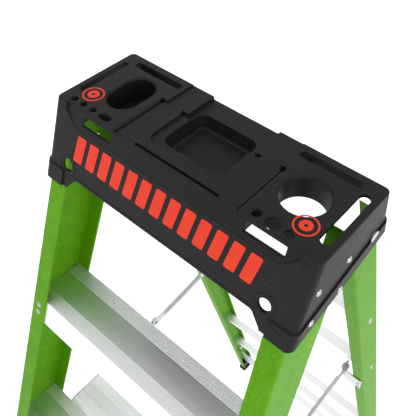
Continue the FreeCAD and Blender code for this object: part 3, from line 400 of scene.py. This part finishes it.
def bar_tree():
    tree, recipe, outline = start_tree("row_of_bars", "Bars", "Pitch", "Width", "Height",
                                       "Slant", "Corner", "Thickness", "Finish")
    shape = recipe.add("GeometryNodeCurvePrimitiveQuadrilateral", {"mode": "PARALLELOGRAM"},
                       {"Width": outline["Width"], "Height": outline["Height"],
                        "Offset": outline["Slant"]})
    soft = recipe.add("GeometryNodeFilletCurve", {"mode": "POLY"},
                      {"Curve": shape, "Count": 4, "Radius": outline["Corner"]})
    face = recipe.add("GeometryNodeFillCurve", {"mode": "NGONS"}, {"Curve": soft})
    bar = recipe.add("GeometryNodeExtrudeMesh", {"mode": "FACES"},
                     {"Mesh": face, "Offset Scale": outline["Thickness"]})
    step = recipe.add("ShaderNodeCombineXYZ", {}, {0: outline["Pitch"]})
    line = recipe.add("GeometryNodeMeshLine", {"mode": "OFFSET"},
                      {"Count": outline["Bars"], "Offset": step})
    row = recipe.add("GeometryNodeInstanceOnPoints", {}, {"Points": line, "Instance": bar})
    end_tree(recipe, row, outline["Finish"])
    return tree


row_of_bars = bar_tree()


def grown(name, tree, start=None, **sizes):
    """Runs a tree with its named inputs set and returns the result as a plain mesh."""
    host = bpy.data.objects.new(name, start or bpy.data.meshes.new(name))
    bpy.context.scene.collection.objects.link(host)
    modifier = host.modifiers.new("grow", "NODES")
    modifier.node_group = tree
    for socket in tree.interface.items_tree:
        if socket.in_out == "INPUT" and socket.name in sizes:
            modifier[socket.identifier] = sizes[socket.name]
    evaluated = host.evaluated_get(bpy.context.evaluated_depsgraph_get())
    mesh = bpy.data.meshes.new_from_object(evaluated)
    bpy.data.objects.remove(host)
    mesh.name = name
    return mesh


def finish_piece(name, mesh):
    piece = bpy.data.objects.new(name, mesh)
    bpy.context.scene.collection.objects.link(piece)
    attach(piece, "front_frame")


print("tree inputs:", [i.name for i in row_of_bars.interface.items_tree])

# %% [markdown]
# ## Laying flat prints on the cap
# Each corner of a flat print has a place on the cap and a height above its skin. The skin is
# found there, by a ray on the front, and the corner is lifted off it along the way the skin
# faces. The print then follows the slope and floats a tenth of a millimetre off it.

# %% Lay prints
LIFT = 0.1 * MM


def lay_on_front(mesh, across, down):
    for vertex in mesh.vertices:
        hit, facing = on_front(across + vertex.co.x / MM, down - vertex.co.y / MM)
        vertex.co = hit + facing * (vertex.co.z + LIFT)
    mesh.update()


def lay_on_top(mesh, across, back):
    for vertex in mesh.vertices:
        hit, facing = on_top(across + vertex.co.x / MM, back + vertex.co.y / MM)
        vertex.co = hit + facing * (vertex.co.z + LIFT)
    mesh.update()


BARS = 13
PITCH = 21.2 * MM
front_bars = grown("front_bars", row_of_bars, Bars=BARS, Pitch=PITCH, Width=14.5 * MM,
                   Height=33 * MM, Slant=5 * MM, Corner=2.2 * MM, Thickness=0.25 * MM,
                   Finish=orange)
for vertex in front_bars.vertices:
    vertex.co.x -= PITCH * (BARS - 1) / 2
lay_on_front(front_bars, -6.5, 45.5)
finish_piece("front_bars", front_bars)
print("front bars:", len(front_bars.polygons), "faces")

# %% [markdown]
# ## Round badges on the cap's top
# Near both ends of the cap's top sits a small round orange badge, kept plain here: a ring
# round a smaller ring. Both come from one Geometry Nodes tree, a circle given a width.

# %% Badges
def ring_tree():
    tree, recipe, outline = start_tree("flat_ring", "Radius", "Band", "Finish")
    circle = recipe.add("GeometryNodeCurvePrimitiveCircle", {"mode": "RADIUS"},
                        {"Resolution": 48, "Radius": outline["Radius"]})
    side = recipe.add("GeometryNodeCurvePrimitiveLine", {"mode": "POINTS"},
                      {"Start": (-0.5, 0.0, 0.0), "End": (0.5, 0.0, 0.0)})
    band = recipe.add("ShaderNodeCombineXYZ", {}, {0: outline["Band"], 1: 1.0, 2: 1.0})
    wide = recipe.add("GeometryNodeTransform", {}, {"Geometry": side, "Scale": band})
    strip = recipe.add("GeometryNodeCurveToMesh", {}, {"Curve": circle, "Profile Curve": wide})
    end_tree(recipe, strip, outline["Finish"])
    return tree


flat_ring = ring_tree()
for side, across, back in (("left", -153.0, 30.0), ("right", 147.0, 28.0)):
    for part, radius, band in (("ring", 12.3, 2.0), ("middle", 4.5, 5.0)):
        name = f"{side}_badge_{part}"
        print_mesh = grown(name, flat_ring, Radius=radius * MM, Band=band * MM, Finish=orange)
        lay_on_top(print_mesh, across, back)
        finish_piece(name, print_mesh)

# %% [markdown]
# ## Crease lines of the front panel
# Two fine lines are moulded along the front panel: one starts near the top at both ends and
# steps down between them, the other runs low along the panel and arches over both round
# holes. Each is a chain of points laid on the panel, and one Geometry Nodes tree turns any
# chain into a thin bead.

# %% Crease lines
def bead_tree():
    tree, recipe, outline = start_tree("thin_bead", "Geometry", "Radius", "Finish")
    path = recipe.add("GeometryNodeMeshToCurve", {}, {"Mesh": outline["Geometry"]})
    round_wire = recipe.add("GeometryNodeCurvePrimitiveCircle", {"mode": "RADIUS"},
                            {"Resolution": 8, "Radius": outline["Radius"]})
    bead = recipe.add("GeometryNodeCurveToMesh", {}, {"Curve": path, "Profile Curve": round_wire,
                                                      "Fill Caps": True})
    end_tree(recipe, bead, outline["Finish"])
    return tree


thin_bead = bead_tree()
HOLES = (-151.5, 146.5)     # the round holes' middles along the cap
HOLE_DOWN = 73
ARCH_RADIUS = 13
LOW_LINE = 88.5
DEEPEST_SPOT = 12 * MM      # a ray that goes further in has passed through a hole
upper = [(-180, 8.2), (-165, 8.2), (-147, 23.5), (147, 23.5), (165, 8.6), (180, 8.6)]
lower = [(-176, LOW_LINE), (HOLES[0] - 18, LOW_LINE), (HOLES[0] - 12, 84)]
for hole in HOLES:
    lower += [(hole - ARCH_RADIUS * math.cos(math.radians(turn)),
               HOLE_DOWN - ARCH_RADIUS * math.sin(math.radians(turn)))
              for turn in range(-50, 231, 20)]
lower += [(HOLES[1] + 12, 84), (HOLES[1] + 18, LOW_LINE), (176, LOW_LINE)]


def walked(corners, stride=4.0):
    """The corners with points between them, close enough to follow the panel."""
    points = [corners[0]]
    for (x0, d0), (x1, d1) in zip(corners, corners[1:]):
        parts = max(1, math.ceil(math.dist((x0, d0), (x1, d1)) / stride))
        points += [(x0 + (x1 - x0) * i / parts, d0 + (d1 - d0) * i / parts)
                   for i in range(1, parts + 1)]
    return points


for name, corners in (("upper_crease", upper), ("lower_crease", lower)):
    spots = [on_front(x, d)[0] for x, d in walked(corners)]
    spots = [spot for spot in spots if spot is not None and spot.y < CAP_FRONT + DEEPEST_SPOT]
    chain = bpy.data.meshes.new(name)
    chain.from_pydata(spots, [(i, i + 1) for i in range(len(spots) - 1)], [])
    bead = grown(name, thin_bead, chain, Radius=0.5 * MM, Finish=cap_plastic)
    finish_piece(name, bead)
    print(name, len(spots), "points,", len(bead.polygons), "faces")

# %% [markdown]
# ## The floor, the light and the camera
# The floor is a plain pale sheet, and the world is an even soft white, as in a studio tent.
# One large soft light from the right of the ladder brightens its right-hand faces, and a
# smaller one from above gives the treads their shine. The camera looks down at the cap from
# the climber's right, close enough for the rails to run away steeply.

# %% Stage
def stage_floor():
    mesh = bpy.data.meshes.new("floor")
    size = 14.0
    mesh.from_pydata([(-size, -size, 0), (size, -size, 0), (size, size, 0), (-size, size, 0)],
                     [], [(0, 1, 2, 3)])
    floor = bpy.data.objects.new("floor", mesh)
    bpy.context.scene.collection.objects.link(floor)
    material, _, shader, _ = new_finish("floor_white", Roughness=0.9, Specular_IOR_Level=0.1,
                                        Emission_Strength=0.42)
    shader.inputs["Base Color"].default_value = (0.9, 0.9, 0.9, 1.0)
    shader.inputs["Emission Color"].default_value = (1.0, 1.0, 1.0, 1.0)
    mesh.materials.append(material)


stage_floor()
world = bpy.data.worlds.new("studio")
bpy.context.scene.world = world
world.use_nodes = True
world.node_tree.nodes["Background"].inputs["Color"].default_value = (1.0, 1.0, 1.0, 1.0)
world.node_tree.nodes["Background"].inputs["Strength"].default_value = 1.0


def soft_light(name, place_at, look_at, size, power):
    data = bpy.data.lights.new(name, "AREA")
    data.shape = "SQUARE"
    data.size = size
    data.energy = power
    lamp = bpy.data.objects.new(name, data)
    lamp.location = place_at
    lamp.rotation_euler = (Vector(look_at) - Vector(place_at)).to_track_quat("-Z", "Y").to_euler()
    bpy.context.scene.collection.objects.link(lamp)


soft_light("right_light", (3.2, -0.6, 2.4), (0.0, 0.0, 1.5), 2.2, 34.0)
soft_light("top_light", (-0.6, -0.8, 4.0), (0.0, 0.0, 1.2), 1.5, 8.0)
scene = bpy.context.scene
scene.view_settings.view_transform = "Standard"
scene.view_settings.look = "None"
scene.view_settings.exposure = 0.0
scene.view_settings.gamma = 1.0

# %% Camera
camera_data = bpy.data.cameras.new("camera")
camera_data.sensor_width = 36.0
camera_data.lens = 47.96
camera_data.shift_x = -0.0021
camera_data.shift_y = -0.0046
camera_data.clip_start = 0.02
camera_data.clip_end = 60.0
camera = bpy.data.objects.new("camera", camera_data)
eye = place(297.4, -281.9, -388.2)
aim = place(0.1, 60.0, 106.05)
turned = (aim - eye).to_track_quat("-Z", "Y").to_matrix() @ Matrix.Rotation(
    math.radians(0.484), 3, "Z")
camera.matrix_world = Matrix.Translation(eye) @ turned.to_4x4()
bpy.context.scene.collection.objects.link(camera)
bpy.context.scene.camera = camera
print("camera at", [round(v, 3) for v in eye])
